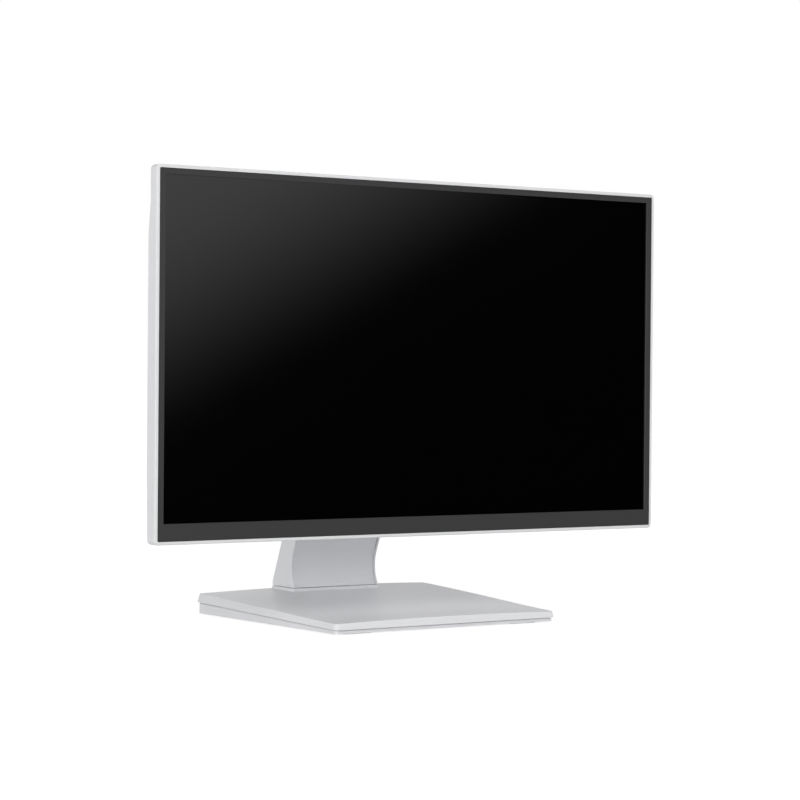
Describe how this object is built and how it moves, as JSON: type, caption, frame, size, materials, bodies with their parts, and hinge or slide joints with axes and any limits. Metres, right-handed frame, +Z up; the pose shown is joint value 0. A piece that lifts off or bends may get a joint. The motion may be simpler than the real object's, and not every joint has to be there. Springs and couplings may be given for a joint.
{
  "type": "computer monitor",
  "caption": "Flat desktop computer monitor with a thin light frame and black screen on a tilting neck and wedge-shaped base.",
  "frame": {"origin": "on the table, under the middle of the base", "axes": "+X to the viewer's right, -Y towards the viewer, +Z up; the screen is upright at rest"},
  "size_m": [0.5448, 0.2286, 0.4031],
  "materials": {
    "white_plastic": "fine moulded texture, satin",
    "dark_plastic": "fine texture, matt",
    "screen_glass": "polished black polariser",
    "film": "milky sheet",
    "acrylic": "clear, polished",
    "led_white": "white board",
    "black_plastic": "moulded",
    "panel_metal": "plain pressed sheet",
    "circuit_board": "solder mask",
    "flex": "flexible printed film",
    "chassis_steel": "zinc-plated sheet",
    "steel": "zinc-plated",
    "vga_blue": "moulded, with plated jack posts",
    "hinge_steel": "pressed plate",
    "cast_metal": "as cast",
    "weight_steel": "mill finish",
    "rubber": "soft, matt"
  },
  "bodies": {
    "stand": {"base_cover": "white_plastic", "base_tray": "white_plastic", "base_weight": "weight_steel", "rubber_feet": "rubber", "base_bolts": "steel", "neck_column": "cast_metal", "hinge_bracket": "hinge_steel", "bracket_screws": "steel", "friction_washers": "steel", "neck_rear_shell": "white_plastic", "neck_front_cover": "white_plastic"},
    "head": {"front_frame": "white_plastic", "front_bezel": "dark_plastic", "lcd_glass": "screen_glass", "optical_films": "film", "light_guide": "acrylic", "reflector_film": "film", "led_bar": "led_white", "panel_mid_frame": "black_plastic", "panel_tray": "panel_metal", "timing_board": "circuit_board", "panel_flex_cable": "flex", "chassis_tray": "chassis_steel", "wall_mount_standoffs": "steel", "stand_standoffs": "steel", "power_board": "circuit_board", "main_board": "circuit_board", "hdmi_socket": "steel", "display_socket": "steel", "vga_socket": "vga_blue", "audio_socket": "black_plastic", "mains_inlet": "black_plastic", "socket_bracket": "chassis_steel", "key_board": "circuit_board", "status_light_pipe": "acrylic", "rear_cover": "white_plastic", "cover_screws": "steel", "board_screws": "steel", "hinge_yoke": "hinge_steel", "yoke_screws": "steel", "hinge_shaft": "steel", "hinge_nuts": "steel"},
    "menu_key_1": {"menu_key_1": "white_plastic"},
    "menu_key_2": {"menu_key_2": "white_plastic"},
    "menu_key_3": {"menu_key_3": "white_plastic"},
    "menu_key_4": {"menu_key_4": "white_plastic"},
    "power_key": {"power_key": "white_plastic"}
  },
  "joints": [
    {"name": "tilt", "type": "hinge", "parent": "stand", "child": "head", "pos_m": [0, 0.006, 0.186], "axis": [-1, 0, 0], "range_deg": [-5, 20]},
    {"name": "menu_key_1_press", "type": "slide", "parent": "head", "child": "menu_key_1", "axis": [0, -1, 0], "range_m": [0, 0.0005], "stiffness_N_per_m": 2000},
    {"name": "menu_key_2_press", "type": "slide", "parent": "head", "child": "menu_key_2", "axis": [0, -1, 0], "range_m": [0, 0.0005], "stiffness_N_per_m": 2000},
    {"name": "menu_key_3_press", "type": "slide", "parent": "head", "child": "menu_key_3", "axis": [0, -1, 0], "range_m": [0, 0.0005], "stiffness_N_per_m": 2000},
    {"name": "menu_key_4_press", "type": "slide", "parent": "head", "child": "menu_key_4", "axis": [0, -1, 0], "range_m": [0, 0.0005], "stiffness_N_per_m": 2000},
    {"name": "power_key_press", "type": "slide", "parent": "head", "child": "power_key", "axis": [0, -1, 0], "range_m": [0, 0.0005], "stiffness_N_per_m": 2000}
  ]
}
